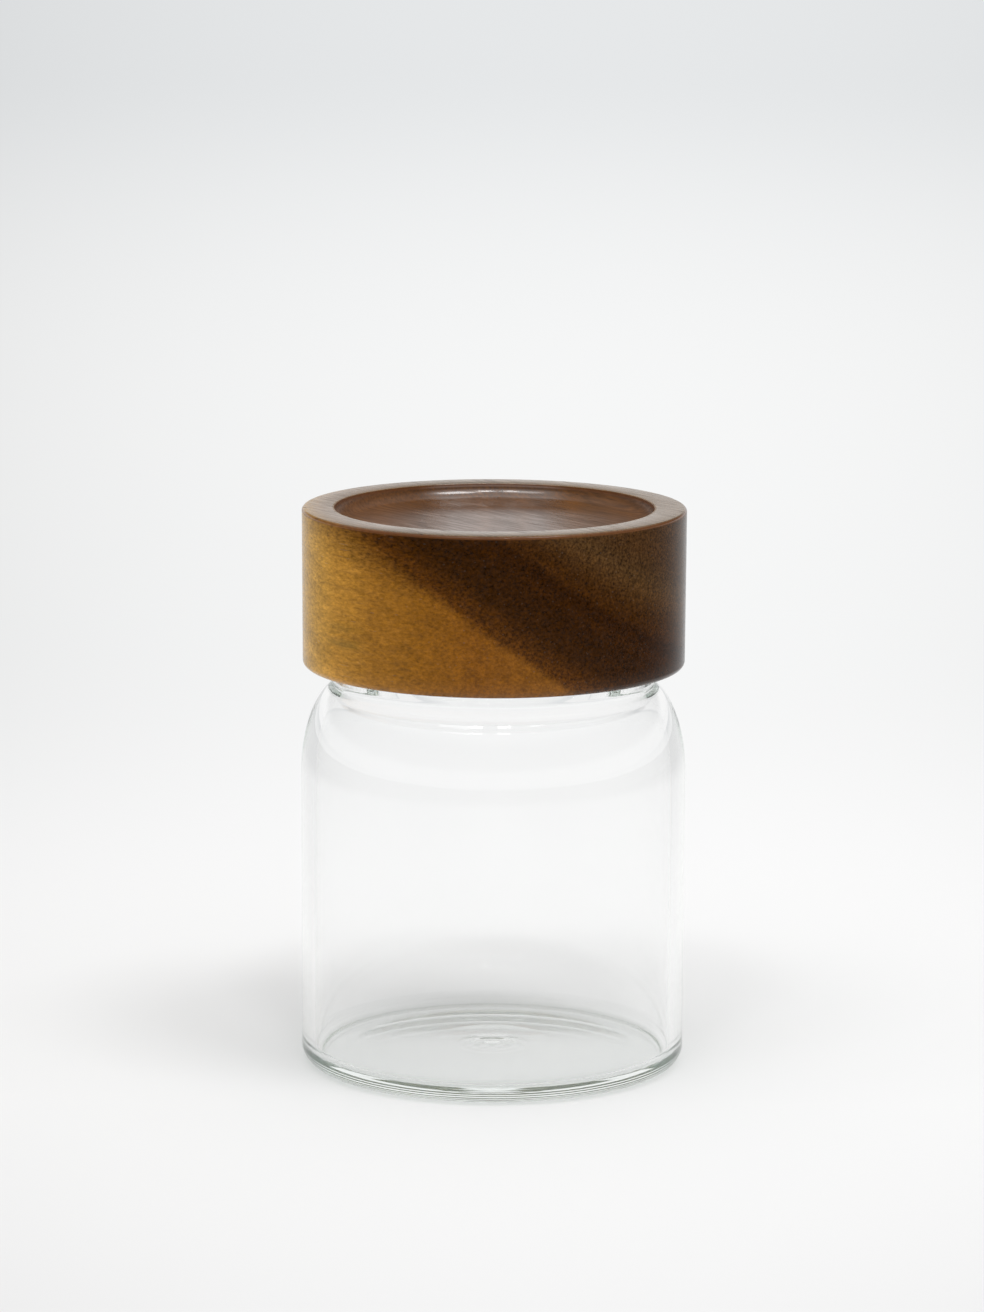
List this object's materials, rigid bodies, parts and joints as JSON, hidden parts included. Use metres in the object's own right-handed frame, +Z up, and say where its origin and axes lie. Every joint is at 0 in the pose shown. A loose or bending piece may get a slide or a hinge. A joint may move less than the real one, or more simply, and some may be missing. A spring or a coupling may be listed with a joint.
{
  "type": "screw-top jar",
  "caption": "Round clear glass storage jar with a rounded shoulder and a tall turned wooden screw lid, dished on top, with a thread liner and a seal ring inside.",
  "frame": {"origin": "centre of the base, on the surface that the jar stands on", "axes": "+Z up along the axis of the jar and its screw lid; the picture looks along +Y with +X to the right"},
  "size_m": [0.065, 0.065, 0.095],
  "materials": {
    "clear_glass": "clear, fire-polished",
    "hardwood": "satin oiled, two-toned grain",
    "liner_plastic": "satin natural moulded",
    "seal_rubber": "soft, milky"
  },
  "bodies": {
    "jar": {"glass_jar": "clear_glass"},
    "seal": {"seal_ring": "seal_rubber"},
    "lid": {"wooden_lid": "hardwood", "thread_liner": "liner_plastic"}
  },
  "joints": [
    {"name": "lid_rise", "type": "slide", "parent": "jar", "child": "seal", "axis": [0, 0, 1], "range_m": [0, 0.015]},
    {"name": "lid_turn", "type": "hinge", "parent": "seal", "child": "lid", "pos_m": [0, 0, 0.0829], "axis": [0, 0, 1], "range_deg": [0, 1080]}
  ],
  "couplings": [
    {"joint": "lid_rise", "follows": "lid_turn", "m_per_rad": 0.00079577}
  ]
}
